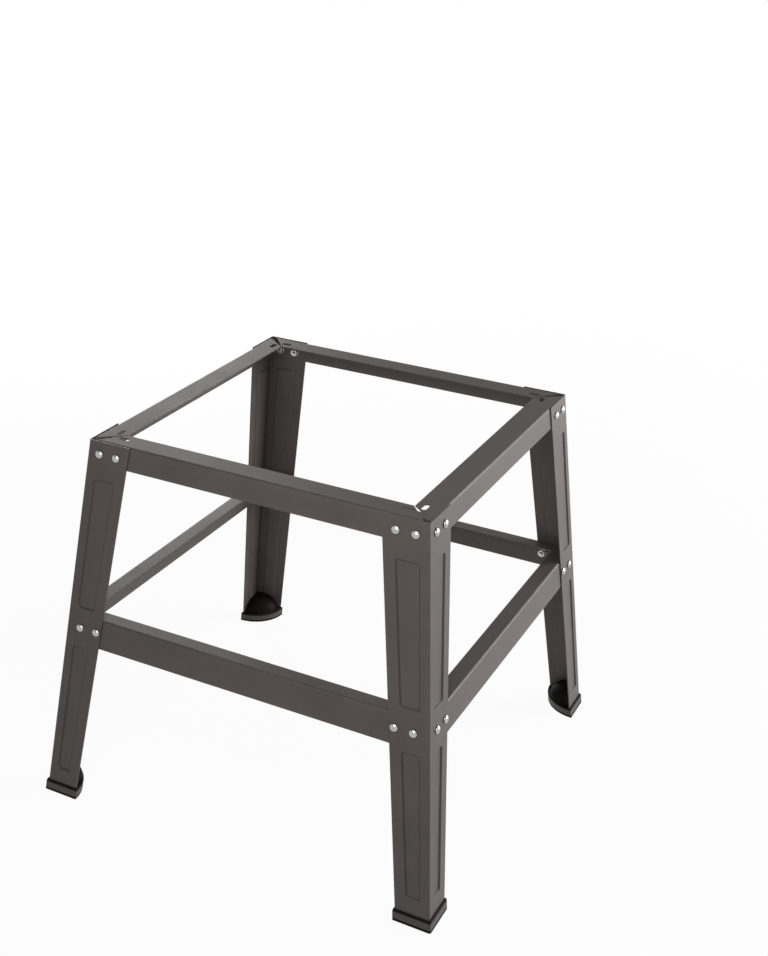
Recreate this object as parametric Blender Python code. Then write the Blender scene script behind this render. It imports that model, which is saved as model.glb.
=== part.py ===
"""Bolted sheet-steel stand for a bench-top table saw.

Four splayed legs, each pressed to an L with recessed panels. Four top rails, which the machine's
base sits on. Four lower braces. A moulded rubber foot under each leg. In every hole a round-headed
bolt with its washer and nut, tightened.

Sizes are in metres. The floor is z = 0, the stand's middle is x = y = 0, and the front faces -Y.
The stand is the same on its four sides, so each piece is made once, for the front side or for the
front right corner, and its copies are turned about Z by quarter turns.
"""
import math

import bmesh
import bpy
from mathutils import Matrix, Vector

# Overall size
HEIGHT = 0.5170              # floor to the face that the machine stands on
TOP_SIZE = 0.464             # across the outer faces of the legs at the top, both ways
LEG_SPREAD = 0.0565          # outward run of each face, from the top down to the floor
SHEET = 0.0015               # thickness of the steel sheet
CLEARANCE = 0.0003           # gap left between pieces that touch

# Legs: two equal flanges that narrow towards the floor
LEG_WIDTH_TOP = 0.0603
LEG_WIDTH_FLOOR = 0.0461
LEG_BEND = 0.0022            # outer radius of the fold between the flanges
PANEL_LAND = 0.0120          # flat strip between a recessed panel and the leg's fold
PANEL_EXTRA_LAND = 0.0025    # how much wider the strip along the flange's free edge is
PANEL_DEPTH = 0.0020
PANEL_WALL = 0.0017          # width of the sloping wall round a panel
PANEL_BELOW_RAIL = 0.0196    # flat length between the top rail and the upper panel
PANEL_ABOVE_BRACE = 0.0103
PANEL_BELOW_BRACE = 0.0041
PANEL_ABOVE_FOOT = 0.0202    # flat length between the lower panel and the foot's rim

# Top rails and lower braces: an upright web behind the legs and a flange turned inwards
RAIL_HEIGHT = 0.0306
RAIL_FLANGE = 0.0340         # from the legs' outer face to the flange's inner edge
BRACE_HEIGHT = 0.0407
BRACE_FLANGE = 0.0236
RAIL_BEND = 0.0030
END_GAP = 0.0080             # from a leg's corner to the end of a rail or brace
MITRE_GAP = 0.0010           # at the inner ends of two flanges that meet in a corner

# Slots in the top rails for the bolts of the machine's base
SLOT_WIDTH = 0.0070
SLOT_LENGTH = 0.0160
SLOT_FROM_FACE = 0.0220      # from the legs' outer face to the slot's middle line
SLOT_FROM_CORNER = 0.0370    # from a leg's outer face to the middle of the slot next to it

# Bolts: two in each flange of each leg, at the top and at mid height
BOLT_DIAMETER = 0.0060
BOLT_PITCH = 0.0250
TOP_BOLT_DROP = 0.0166       # below the top face
TOP_BOLT_SHIFT = 0.0         # from the flange's middle line to the pair's, towards its free edge
MID_BOLT_DROP = 0.2603
MID_BOLT_SHIFT = 0.0070
BRACE_BOLT_DROP = 0.0172     # from the brace's top edge down to its bolts
HEAD_DIAMETER = 0.0110
HEAD_HEIGHT = 0.0033
HEAD_RIM = 0.0005            # thickness of the round head at its edge
WASHER_DIAMETER = 0.0120
WASHER_THICKNESS = 0.0012
NUT_ACROSS_FLATS = 0.0100
NUT_THICKNESS = 0.0050
THREAD_PAST_NUT = 0.0020

# Rubber feet: a quarter round with a slot for the leg and a domed core inside the leg
FOOT_FLOOR = 0.0040          # rubber under the leg's end
FOOT_RIM = 0.0160            # height of the rim round the leg
FOOT_WALL = 0.0025           # rubber outside the leg
FOOT_END_WALL = 0.0030       # rubber past the edges of the leg's flanges
FOOT_CORNER = 0.0020         # radius of the outer corner
CORE_TOP = 0.0385            # above the floor
CORE_ROUND = 0.0280          # height of the dome's rounded part
CORE_MIDDLE = 0.0140         # from the foot's outer faces to the dome's middle
CORE_RADIUS = 0.0310

# How finely the rounded forms are cut into flat faces
FOLD_STEPS = 3
FOOT_CORNER_STEPS = 2
FOOT_ARC_STEPS = 12
CORE_SIDES = 32
CORE_RINGS = 16
ROUND_SIDES = 12             # bolts and slots; twice six, so each flat of the nut has two points
HOLE_SIDES = 8
HEAD_RING_ANGLES = (25, 58, 90)          # degrees from the dome's top down to its edge
NUT_FLAT_HALF_ANGLE = math.radians(22)   # 30 degrees would be a sharp hexagon
SHEET_SMOOTH_ANGLE = math.radians(25)
SOLID_SMOOTH_ANGLE = math.radians(35)

# What follows from the sizes above
SLOPE = LEG_SPREAD / HEIGHT
EDGE_SLOPE = SLOPE + (LEG_WIDTH_TOP - LEG_WIDTH_FLOOR) / HEIGHT   # of a flange's free edge
TILT = math.atan(SLOPE)
BOLT_RADIUS = BOLT_DIAMETER / 2
GRIP = 2 * SHEET + CLEARANCE             # leg and rail between a bolt's head and its washer
BRACE_DROP = MID_BOLT_DROP - BRACE_BOLT_DROP
BEHIND_LEG = (SHEET + CLEARANCE) / math.cos(TILT)
LEG_END_DROP = HEIGHT - FOOT_FLOOR - CLEARANCE - SHEET * SLOPE
FOOT_REACH = FOOT_WALL + LEG_WIDTH_FLOOR + FOOT_END_WALL
FOOT_FACE = TOP_SIZE / 2 + LEG_SPREAD + FOOT_WALL

SIDES = ("front", "right", "back", "left")
CORNERS = ("front_right", "back_right", "back_left", "front_left")
BOLT_ROWS = {"top": (TOP_BOLT_DROP, TOP_BOLT_SHIFT), "mid": (MID_BOLT_DROP, MID_BOLT_SHIFT)}


def quarter_turn(index):
    """The turn that takes the front side to side number index, going round by the right."""
    return Matrix.Rotation(index * math.pi / 2, 4, "Z")


def face_at(drop):
    """Distance of the legs' outer faces from the stand's middle, at a drop below the top."""
    return TOP_SIZE / 2 + SLOPE * drop


def flange_width(drop):
    return LEG_WIDTH_TOP + (LEG_WIDTH_FLOOR - LEG_WIDTH_TOP) * drop / HEIGHT


def on_front_face(along, drop):
    """Turns a shape that stands on Z into one that stands out of the front face of the legs."""
    place = Matrix.Translation((along, -face_at(drop), HEIGHT - drop))
    return place @ Matrix.Rotation(math.pi / 2 - TILT, 4, "X")


def bolt_places(row):
    """The four bolts of one row on the front side, from left to right."""
    drop, shift = BOLT_ROWS[row]
    outer = face_at(drop) - (flange_width(drop) - BOLT_PITCH) / 2 - shift
    inner = outer - BOLT_PITCH
    return [on_front_face(along, drop) for along in (-outer, -inner, inner, outer)]


# Objects and materials

def clear_scene():
    for obj in list(bpy.data.objects):
        bpy.data.objects.remove(obj, do_unlink=True)


def make_material(name, colour, roughness, metallic):
    material = bpy.data.materials.new(name)
    material.use_nodes = True
    shader = material.node_tree.nodes["Principled BSDF"]
    shader.inputs["Base Color"].default_value = (*colour, 1.0)
    shader.inputs["Roughness"].default_value = roughness
    shader.inputs["Metallic"].default_value = metallic
    return material


def add_object(name, mesh, material=None, turn=None):
    obj = bpy.data.objects.new(name, mesh)
    bpy.context.scene.collection.objects.link(obj)
    if material and not mesh.materials:
        mesh.materials.append(material)
    if turn:
        obj.matrix_world = turn
    return obj


def object_from(bm, name, closed=True):
    """A closed body is turned outwards. An open skin keeps its faces, as the sheet lies behind."""
    if closed:
        bmesh.ops.recalc_face_normals(bm, faces=bm.faces)
    mesh = bpy.data.meshes.new(name)
    bm.to_mesh(mesh)
    bm.free()
    return add_object(name, mesh)


def give_thickness(obj, thickness, offset=-1.0):
    solidify = obj.modifiers.new("sheet", "SOLIDIFY")
    solidify.thickness = thickness
    solidify.offset = offset
    solidify.use_even_offset = True


def combine(obj, other, operation):
    """Adds a Boolean whose other object is only a guide."""
    boolean = obj.modifiers.new(other.name, "BOOLEAN")
    boolean.object = other
    boolean.operation = operation
    boolean.solver = "EXACT"
    other.hide_render = True
    other.display_type = "WIRE"


def finished_mesh(obj, name, smooth_angle):
    """The object's shape with its modifiers, as one mesh that all copies share."""
    graph = bpy.context.evaluated_depsgraph_get()
    mesh = bpy.data.meshes.new_from_object(obj.evaluated_get(graph))
    mesh.name = name
    mesh.materials.clear()
    mesh.shade_smooth()
    mesh.set_sharp_from_angle(angle=smooth_angle)
    return mesh


def remove_objects(*objects):
    for obj in objects:
        bpy.data.objects.remove(obj, do_unlink=True)


# Sheet-metal skins

def cut_through(bm, point, normal, **options):
    """Cuts every face along one plane."""
    geometry = bm.verts[:] + bm.edges[:] + bm.faces[:]
    return bmesh.ops.bisect_plane(bm, geom=geometry, plane_co=point, plane_no=normal, **options)


def press_panel(bm, top_drop, bottom_drop):
    """Presses a tapering panel into both flanges between two drops below the top."""
    upper = HEIGHT - top_drop + PANEL_LAND
    lower = HEIGHT - bottom_drop - PANEL_LAND
    for height in (upper, lower):
        cut_through(bm, (0, 0, height), (0, 0, 1))
    faces = [f for f in bm.faces if lower < f.calc_center_median().z < upper]
    faces = sorted(faces, key=lambda face: face.calc_area())[-2:]
    # A second ring of points close to the wall keeps the rest of the strip flat on both sides
    for thickness, depth in ((PANEL_LAND - PANEL_WALL, 0), (PANEL_WALL, 0), (PANEL_WALL, PANEL_DEPTH)):
        bmesh.ops.inset_individual(bm, faces=faces, thickness=thickness, depth=-depth,
                                   use_even_offset=True)


def round_edges(bm, is_on_line, radius, steps):
    """Rounds the edges whose ends both lie on the line."""
    edges = [e for e in bm.edges if all(is_on_line(v.co) for v in e.verts)]
    bmesh.ops.bevel(bm, geom=edges, offset=radius, segments=steps, profile=0.5, affect="EDGES",
                    material=-1)


def leg_skin(end_drop, wider=0.0):
    """The outer skin of the front right leg, as an open sheet."""
    bm = bmesh.new()
    rows = []
    for drop in (0.0, end_drop):
        face, width, z = face_at(drop), flange_width(drop) + wider, HEIGHT - drop
        corner = bm.verts.new((face, -face, z))
        front_edge = bm.verts.new((face - width, -face, z))
        side_edge = bm.verts.new((face, -face + width, z))
        rows.append((corner, front_edge, side_edge))
    (corner_top, front_top, side_top), (corner_end, front_end, side_end) = rows
    front = bm.faces.new((corner_top, corner_end, front_end, front_top))
    side = bm.faces.new((corner_top, corner_end, side_end, side_top))
    for face, outwards in ((front, Vector((0, -1, 0))), (side, Vector((1, 0, 0)))):
        face.normal_update()
        if face.normal.dot(outwards) < 0:
            face.normal_flip()
    strip = TOP_SIZE / 2 - LEG_WIDTH_TOP + PANEL_EXTRA_LAND
    cut_through(bm, (strip, 0, HEIGHT), (1, 0, EDGE_SLOPE))
    cut_through(bm, (0, -strip, HEIGHT), (0, -1, EDGE_SLOPE))
    press_panel(bm, RAIL_HEIGHT + PANEL_BELOW_RAIL, BRACE_DROP - PANEL_ABOVE_BRACE)
    press_panel(bm, BRACE_DROP + BRACE_HEIGHT + PANEL_BELOW_BRACE,
                HEIGHT - FOOT_RIM - PANEL_ABOVE_FOOT)

    def on_corner(point):
        face = face_at(HEIGHT - point.z)
        return abs(point.x - face) < CLEARANCE / 10 and abs(point.y + face) < CLEARANCE / 10

    round_edges(bm, on_corner, LEG_BEND, FOLD_STEPS)
    return bm


def rail_skin(drop, height, flange):
    """The outer skin of a front rail: its web lies behind the legs, its flange turns inwards."""
    bm = bmesh.new()
    face = face_at(drop)
    half_web = face - END_GAP
    half_inner = face - flange - MITRE_GAP
    top = HEIGHT - drop
    web_y = -face + BEHIND_LEG
    lower_y = -face_at(drop + height) + BEHIND_LEG
    lower = [bm.verts.new((x, lower_y, top - height)) for x in (-half_web, half_web)]
    fold = [bm.verts.new((x, web_y, top)) for x in (-half_web, half_web)]
    inner = [bm.verts.new((x, -face + flange, top)) for x in (-half_inner, half_inner)]
    bm.faces.new((lower[0], lower[1], fold[1], fold[0]))
    bm.faces.new((fold[0], fold[1], inner[1], inner[0]))

    def on_fold(point):
        return abs(point.y - web_y) < CLEARANCE and point.z > top - CLEARANCE

    round_edges(bm, on_fold, RAIL_BEND, FOLD_STEPS)
    return bm


# Cutters

def add_hole(bm, place):
    """A bolt hole, long enough for the leg's sheet and the one behind it."""
    radius = (BOLT_RADIUS + CLEARANCE) / math.cos(math.pi / HOLE_SIDES)
    to_middle = Matrix.Translation((0, 0, -GRIP / 2))
    bmesh.ops.create_cone(bm, cap_ends=True, segments=HOLE_SIDES, radius1=radius, radius2=radius,
                          depth=3 * GRIP, matrix=place @ to_middle)


def add_slot(bm, along):
    """A slot with round ends through a top rail's flange."""
    radius = SLOT_WIDTH / 2 / math.cos(math.pi / ROUND_SIDES)
    half_straight = (SLOT_LENGTH - SLOT_WIDTH) / 2
    half_step = Matrix.Rotation(math.pi / ROUND_SIDES, 4, "Z")
    made = bmesh.ops.create_cone(bm, cap_ends=True, segments=ROUND_SIDES, radius1=radius,
                                 radius2=radius, depth=4 * SHEET, matrix=half_step)
    for vert in made["verts"]:
        vert.co.x += math.copysign(half_straight, vert.co.x)
    place = Matrix.Translation((along, -TOP_SIZE / 2 + SLOT_FROM_FACE, HEIGHT))
    bmesh.ops.transform(bm, matrix=place, verts=made["verts"])


# Pieces

def make_leg_mesh():
    leg = object_from(leg_skin(LEG_END_DROP), "leg_blank", closed=False)
    give_thickness(leg, SHEET)
    bm = bmesh.new()
    for row in BOLT_ROWS:
        places = bolt_places(row)
        for place in places[2:] + [quarter_turn(1) @ left for left in places[:2]]:
            add_hole(bm, place)
    holes = object_from(bm, "leg_holes")
    combine(leg, holes, "DIFFERENCE")
    mesh = finished_mesh(leg, "leg", SHEET_SMOOTH_ANGLE)
    remove_objects(leg, holes)
    return mesh


def make_rail_mesh(name, row, drop, height, flange, slots):
    rail = object_from(rail_skin(drop, height, flange), name + "_blank", closed=False)
    give_thickness(rail, SHEET)
    bm = bmesh.new()
    for place in bolt_places(row):
        add_hole(bm, place)
    if slots:
        for side in (-1, 1):
            add_slot(bm, side * (TOP_SIZE / 2 - SLOT_FROM_CORNER))
    holes = object_from(bm, name + "_holes")
    combine(rail, holes, "DIFFERENCE")
    mesh = finished_mesh(rail, name, SHEET_SMOOTH_ANGLE)
    remove_objects(rail, holes)
    return mesh


def add_quarter_round(bm, reach, height):
    """A quarter disc about the foot's outer corner, standing on the floor."""
    corner = Vector((FOOT_FACE, -FOOT_FACE, 0))
    points = [corner]
    for step in range(FOOT_ARC_STEPS + 1):
        angle = math.pi / 2 * (1 + step / FOOT_ARC_STEPS)
        points.append(corner + reach * Vector((math.cos(angle), math.sin(angle), 0)))
    face = bm.faces.new([bm.verts.new(point) for point in points])
    raised = bmesh.ops.extrude_face_region(bm, geom=[face])["geom"]
    bmesh.ops.translate(bm, vec=(0, 0, height),
                        verts=[v for v in raised if isinstance(v, bmesh.types.BMVert)])


def lean_with_leg(bm):
    """Shears an upright shape under the front right leg, so that it stays parallel to the leg."""
    lean = Matrix.Identity(4)
    lean[0][2], lean[1][2] = -SLOPE, SLOPE
    bmesh.ops.transform(bm, matrix=lean, verts=bm.verts)


def make_foot_core():
    """A dome, cut to the inside of the leg by two planes in the middle of the leg's sheet."""
    bm = bmesh.new()
    middle = Vector((FOOT_FACE - CORE_MIDDLE, -FOOT_FACE + CORE_MIDDLE, CORE_TOP - CORE_ROUND))
    shape = Matrix.Diagonal((CORE_RADIUS, CORE_RADIUS, CORE_ROUND, 1))
    bmesh.ops.create_uvsphere(bm, u_segments=CORE_SIDES, v_segments=CORE_RINGS, radius=1,
                              matrix=Matrix.Translation(middle) @ shape)
    lean_with_leg(bm)
    inside = TOP_SIZE / 2 - SHEET / 2
    for point, outwards in (((inside, 0, HEIGHT), (1, 0, SLOPE)),
                            ((0, -inside, HEIGHT), (0, -1, SLOPE)),
                            ((0, 0, FOOT_RIM / 2), (0, 0, -1))):
        cut = cut_through(bm, point, outwards, clear_outer=True)["geom_cut"]
        bmesh.ops.edgeloop_fill(bm, edges=[e for e in cut if isinstance(e, bmesh.types.BMEdge)])
    return object_from(bm, "foot_core")


def make_foot_mesh():
    """The foot under the front right leg."""
    bm = bmesh.new()
    add_quarter_round(bm, FOOT_REACH, FOOT_RIM)

    def on_outer_corner(point):
        return abs(point.x - FOOT_FACE) < CLEARANCE and abs(point.y + FOOT_FACE) < CLEARANCE

    round_edges(bm, on_outer_corner, FOOT_CORNER, FOOT_CORNER_STEPS)
    lean_with_leg(bm)
    foot = object_from(bm, "foot_blank")
    core = make_foot_core()
    combine(foot, core, "UNION")

    # The slot follows the leg with the clearance all round it
    slot = object_from(leg_skin(HEIGHT - FOOT_FLOOR, wider=CLEARANCE), "foot_slot", closed=False)
    slot_width = SHEET + 2 * CLEARANCE
    give_thickness(slot, slot_width, offset=-SHEET / slot_width)
    combine(foot, slot, "DIFFERENCE")
    mesh = finished_mesh(foot, "foot", SOLID_SMOOTH_ANGLE)
    remove_objects(foot, core, slot)
    return mesh


def move_to_hexagon(vert):
    """Moves a point of a ring out along the flat that it lies nearest to, and onto that flat."""
    angle = math.atan2(vert.co.y, vert.co.x)
    flat = round(angle / (math.pi / 3)) * math.pi / 3
    turned = flat + math.copysign(NUT_FLAT_HALF_ANGLE, angle - flat)
    radius = NUT_ACROSS_FLATS / 2 / math.cos(NUT_FLAT_HALF_ANGLE)
    vert.co.xy = (radius * math.cos(turned), radius * math.sin(turned))


def make_bolt_mesh():
    """A round-headed bolt with its washer and nut, standing on Z with the leg's face at z = 0."""
    head_radius = HEAD_DIAMETER / 2
    washer_radius = WASHER_DIAMETER / 2
    nut_radius = NUT_ACROSS_FLATS / 2
    under_head = CLEARANCE
    edge = under_head + HEAD_RIM
    washer_top = -GRIP - CLEARANCE
    nut_top = washer_top - WASHER_THICKNESS
    nut_end = nut_top - NUT_THICKNESS
    thread_end = nut_end - THREAD_PAST_NUT
    dome = HEAD_HEIGHT - HEAD_RIM
    rings = [(head_radius * math.sin(angle), edge + dome * math.cos(angle), False)
             for angle in (math.radians(step) for step in HEAD_RING_ANGLES)]
    rings += [
        (head_radius, under_head, False),
        (BOLT_RADIUS, under_head, False),
        (BOLT_RADIUS, washer_top, False),
        (washer_radius, washer_top, False),
        (washer_radius, nut_top, False),
        (nut_radius, nut_top, True),
        (nut_radius, nut_end, True),
        (BOLT_RADIUS, nut_end, False),
        (BOLT_RADIUS, thread_end, False),
    ]
    bm = bmesh.new()
    half_step = Matrix.Rotation(math.pi / ROUND_SIDES, 4, "Z")
    above = None
    for number, (radius, z, is_nut) in enumerate(rings):
        capped = number in (0, len(rings) - 1)
        place = Matrix.Translation((0, 0, z)) @ half_step
        ring = bmesh.ops.create_circle(bm, cap_ends=capped, segments=ROUND_SIDES, radius=radius,
                                       matrix=place)["verts"]
        if is_nut:
            for vert in ring:
                move_to_hexagon(vert)
        if above:
            for one in range(ROUND_SIDES):
                other = (one + 1) % ROUND_SIDES
                bm.faces.new((above[one], ring[one], ring[other], above[other]))
        above = ring
    bolt = object_from(bm, "bolt_blank")
    mesh = finished_mesh(bolt, "bolt", SOLID_SMOOTH_ANGLE)
    remove_objects(bolt)
    return mesh


def build():
    clear_scene()
    steel = make_material("painted_steel", (0.085, 0.080, 0.075), 0.45, 0.0)
    rubber = make_material("rubber", (0.030, 0.029, 0.028), 0.80, 0.0)
    zinc = make_material("zinc_plate", (0.720, 0.720, 0.700), 0.28, 1.0)

    leg = make_leg_mesh()
    foot = make_foot_mesh()
    rail = make_rail_mesh("top_rail", "top", 0.0, RAIL_HEIGHT, RAIL_FLANGE, slots=True)
    brace = make_rail_mesh("lower_brace", "mid", BRACE_DROP, BRACE_HEIGHT, BRACE_FLANGE, slots=False)
    bolt = make_bolt_mesh()
    for index, (side, corner) in enumerate(zip(SIDES, CORNERS)):
        turn = quarter_turn(index)
        add_object("leg_" + corner, leg, steel, turn)
        add_object("foot_" + corner, foot, rubber, turn)
        add_object("top_rail_" + side, rail, steel, turn)
        add_object("lower_brace_" + side, brace, steel, turn)
        for row in BOLT_ROWS:
            for number, place in enumerate(bolt_places(row), start=1):
                add_object(f"bolt_{side}_{row}_{number}", bolt, zinc, turn @ place)


build()
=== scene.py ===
# %% [markdown]
# # A bolted table saw stand
#
# The real stand is flat-pack sheet steel: four legs, four top rails, four lower braces, thirty-two
# bolts and four rubber feet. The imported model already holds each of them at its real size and
# place. This lesson dresses them: it models each piece again with the folds, pressed panels and
# soft edges that catch the light, and gives it a finish.

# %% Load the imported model
import math

import bmesh
import bpy
from mathutils import Matrix, Vector


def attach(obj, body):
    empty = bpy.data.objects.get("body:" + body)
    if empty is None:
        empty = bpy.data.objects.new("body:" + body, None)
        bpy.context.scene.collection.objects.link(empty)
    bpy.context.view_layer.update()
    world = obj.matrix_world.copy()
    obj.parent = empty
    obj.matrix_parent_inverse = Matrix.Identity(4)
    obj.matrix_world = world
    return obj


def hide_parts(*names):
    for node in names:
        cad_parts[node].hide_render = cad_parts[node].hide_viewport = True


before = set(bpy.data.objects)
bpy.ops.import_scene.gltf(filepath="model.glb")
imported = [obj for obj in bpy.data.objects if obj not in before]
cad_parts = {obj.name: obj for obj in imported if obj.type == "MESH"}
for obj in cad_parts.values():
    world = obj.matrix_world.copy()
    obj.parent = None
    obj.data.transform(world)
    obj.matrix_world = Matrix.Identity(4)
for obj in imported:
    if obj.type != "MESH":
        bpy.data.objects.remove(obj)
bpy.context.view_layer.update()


# %% [markdown]
# ## Sizes
#
# Lengths are in metres. The floor is z = 0, the middle of the stand is x = y = 0, and the front
# faces -Y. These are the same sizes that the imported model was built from. A piece modelled from
# them needs no fitting.

# %% Sizes of the sheet-metal pieces
HEIGHT = 0.5170
TOP_SIZE = 0.464             # across the outer faces of the legs at the top, both ways
LEG_SPREAD = 0.0565          # outward run of each face, from the top down to the floor
SHEET = 0.0015               # thickness of the steel sheet
CLEARANCE = 0.0003           # gap left between pieces that touch

LEG_WIDTH_TOP = 0.0603
LEG_WIDTH_FLOOR = 0.0461
LEG_BEND = 0.0022            # outer radius of the fold between the flanges
PANEL_LAND = 0.0120          # flat strip between a recessed panel and the leg's fold
PANEL_EXTRA_LAND = 0.0025    # how much wider the strip along the flange's free edge is
PANEL_DEPTH = 0.0020
PANEL_WALL = 0.0017          # width of the sloping wall round a panel
PANEL_BELOW_RAIL = 0.0196    # flat length between the top rail and the upper panel
PANEL_ABOVE_BRACE = 0.0103
PANEL_BELOW_BRACE = 0.0041
PANEL_ABOVE_FOOT = 0.0202    # flat length between the lower panel and the foot's rim

RAIL_HEIGHT = 0.0306
RAIL_FLANGE = 0.0340         # from the legs' outer face to the flange's inner edge
BRACE_HEIGHT = 0.0407
BRACE_FLANGE = 0.0236
RAIL_BEND = 0.0030           # outer radius of the fold
END_GAP = 0.0080             # from a leg's corner to the end of a rail or brace
MITRE_GAP = 0.0010           # at the inner ends of two flanges that meet in a corner

SLOT_WIDTH = 0.0070
SLOT_LENGTH = 0.0160
SLOT_FROM_FACE = 0.0220      # from the legs' outer face to the slot's middle line
SLOT_FROM_CORNER = 0.0370    # from a leg's outer face to the middle of the slot next to it

# %% Sizes of the bolts and the feet
BOLT_DIAMETER = 0.0060
BOLT_PITCH = 0.0250
TOP_BOLT_DROP = 0.0166       # below the top face
TOP_BOLT_SHIFT = 0.0         # from the flange's middle line to the pair's, towards its free edge
MID_BOLT_DROP = 0.2603
MID_BOLT_SHIFT = 0.0070
BRACE_BOLT_DROP = 0.0172     # from the brace's top edge down to its bolts
HEAD_DIAMETER = 0.0110
HEAD_HEIGHT = 0.0033
HEAD_RIM = 0.0005            # thickness of the round head at its edge
WASHER_DIAMETER = 0.0120
WASHER_THICKNESS = 0.0012
NUT_ACROSS_FLATS = 0.0100
NUT_THICKNESS = 0.0050
THREAD_PAST_NUT = 0.0020

FOOT_FLOOR = 0.0040          # rubber under the leg's end
FOOT_RIM = 0.0160            # height of the rim round the leg
FOOT_WALL = 0.0025           # rubber outside the leg
FOOT_END_WALL = 0.0030       # rubber past the edges of the leg's flanges
FOOT_CORNER = 0.0020         # radius of the outer corner
CORE_TOP = 0.0385            # above the floor
CORE_ROUND = 0.0280          # height of the dome's rounded part
CORE_MIDDLE = 0.0140         # from the foot's outer faces to the dome's middle
CORE_RADIUS = 0.0310

# %% What follows from the sizes
SLOPE = LEG_SPREAD / HEIGHT
EDGE_SLOPE = SLOPE + (LEG_WIDTH_TOP - LEG_WIDTH_FLOOR) / HEIGHT   # of a flange's free edge
TILT = math.atan(SLOPE)
GRIP = 2 * SHEET + CLEARANCE             # leg and rail between a bolt's head and its washer
BRACE_DROP = MID_BOLT_DROP - BRACE_BOLT_DROP
BEHIND_LEG = (SHEET + CLEARANCE) / math.cos(TILT)
LEG_END_DROP = HEIGHT - FOOT_FLOOR - CLEARANCE - SHEET * SLOPE
FOOT_REACH = FOOT_WALL + LEG_WIDTH_FLOOR + FOOT_END_WALL
FOOT_FACE = TOP_SIZE / 2 + LEG_SPREAD + FOOT_WALL

SIDES = ("front", "right", "back", "left")
CORNERS = ("front_right", "back_right", "back_left", "front_left")
BOLT_ROWS = {"top": (TOP_BOLT_DROP, TOP_BOLT_SHIFT), "mid": (MID_BOLT_DROP, MID_BOLT_SHIFT)}


def quarter_turn(index):
    """The turn that takes the front side to side number index, going round by the right."""
    return Matrix.Rotation(index * math.pi / 2, 4, "Z")


def face_at(drop):
    """Distance of the legs' outer faces from the stand's middle, at a drop below the top."""
    return TOP_SIZE / 2 + SLOPE * drop


def flange_width(drop):
    return LEG_WIDTH_TOP + (LEG_WIDTH_FLOOR - LEG_WIDTH_TOP) * drop / HEIGHT


def on_front_face(along, drop):
    """Stands a shape that was made on Z out of the front face of the legs."""
    place = Matrix.Translation((along, -face_at(drop), HEIGHT - drop))
    return place @ Matrix.Rotation(math.pi / 2 - TILT, 4, "X")


def bolt_places(row):
    """The four bolts of one row on the front side, from left to right."""
    drop, shift = BOLT_ROWS[row]
    outer = face_at(drop) - (flange_width(drop) - BOLT_PITCH) / 2 - shift
    inner = outer - BOLT_PITCH
    return [on_front_face(along, drop) for along in (-outer, -inner, inner, outer)]


print(f"the legs lean out by {math.degrees(TILT):.2f} degrees")

# %% [markdown]
# ## The camera
#
# The camera stands where the photographer stood. Its place, direction, focal length and shift came
# from matching about a hundred and sixty points on the outlines and bolts of the stand in the
# photograph, so the render can be laid over the photograph and compared region by region.

# %% Camera
CAMERA_PLACE = (0.764235, -1.545615, 1.217434)
CAMERA_RIGHT = (0.884647, 0.465554, 0.025648)
CAMERA_UP = (-0.214966, 0.358431, 0.90847)
CAMERA_BACK = (0.413748, -0.809189, 0.417164)
CAMERA_SHIFT = 0.067         # of the picture's longer side
FOCAL_PIXELS = 1415.01
PHOTO_HEIGHT = 956           # pixels
SENSOR = 36.0                # millimetres, along the picture's longer side

camera_data = bpy.data.cameras.new("camera")
camera_data.sensor_width = SENSOR
camera_data.lens = FOCAL_PIXELS * SENSOR / PHOTO_HEIGHT
camera_data.shift_x = CAMERA_SHIFT
camera = bpy.data.objects.new("camera", camera_data)
camera_turn = Matrix((CAMERA_RIGHT, CAMERA_UP, CAMERA_BACK)).transposed()
camera.matrix_world = Matrix.Translation(CAMERA_PLACE) @ camera_turn.to_4x4()
bpy.context.scene.collection.objects.link(camera)
bpy.context.scene.camera = camera
print(f"lens {camera_data.lens:.1f} mm")

# %% [markdown]
# ## From a bmesh to a finished piece
#
# Every piece goes the same way: a bmesh becomes an object, modifiers give it thickness, holes and
# soft edges, and the result is written into a plain mesh. The stand is the same on its four
# sides, so a shape is made once and its copies are turned about Z. The turn goes into the mesh,
# and the finished object stays at the origin.

# %% Helpers that turn a bmesh into an object
MERGE_DISTANCE = CLEARANCE / 100


def object_from(bm, name, closed=True):
    """A closed body is turned outwards. An open skin keeps its faces, as the sheet lies behind."""
    if closed:
        bmesh.ops.remove_doubles(bm, verts=bm.verts, dist=MERGE_DISTANCE)
        bmesh.ops.recalc_face_normals(bm, faces=bm.faces)
    mesh = bpy.data.meshes.new(name)
    bm.to_mesh(mesh)
    bm.free()
    obj = bpy.data.objects.new(name, mesh)
    bpy.context.scene.collection.objects.link(obj)
    return obj


def give_thickness(obj, thickness, offset=-1.0):
    solidify = obj.modifiers.new("sheet", "SOLIDIFY")
    solidify.thickness = thickness
    solidify.offset = offset
    solidify.use_even_offset = True


def combine(obj, other, operation):
    boolean = obj.modifiers.new(other.name, "BOOLEAN")
    boolean.object = other
    boolean.operation = operation
    boolean.solver = "EXACT"


def soften_edges(obj, radius, steps, over_angle):
    bevel = obj.modifiers.new("soft_edges", "BEVEL")
    bevel.width = radius
    bevel.segments = steps
    bevel.limit_method = "ANGLE"
    bevel.angle_limit = over_angle


def even_shading(obj):
    """Lets the wide flat faces decide the shading where narrow ones meet them."""
    weighted = obj.modifiers.new("even_shading", "WEIGHTED_NORMAL")
    weighted.keep_sharp = True


def finished_mesh(obj, name, *helpers):
    """The object's shape with its modifiers, as one mesh. The object and its helpers go."""
    graph = bpy.context.evaluated_depsgraph_get()
    mesh = bpy.data.meshes.new_from_object(obj.evaluated_get(graph))
    mesh.name = name
    for used in (obj, *helpers):
        bpy.data.objects.remove(used, do_unlink=True)
    print(f"{name}: {len(mesh.polygons)} faces")
    return mesh


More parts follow.
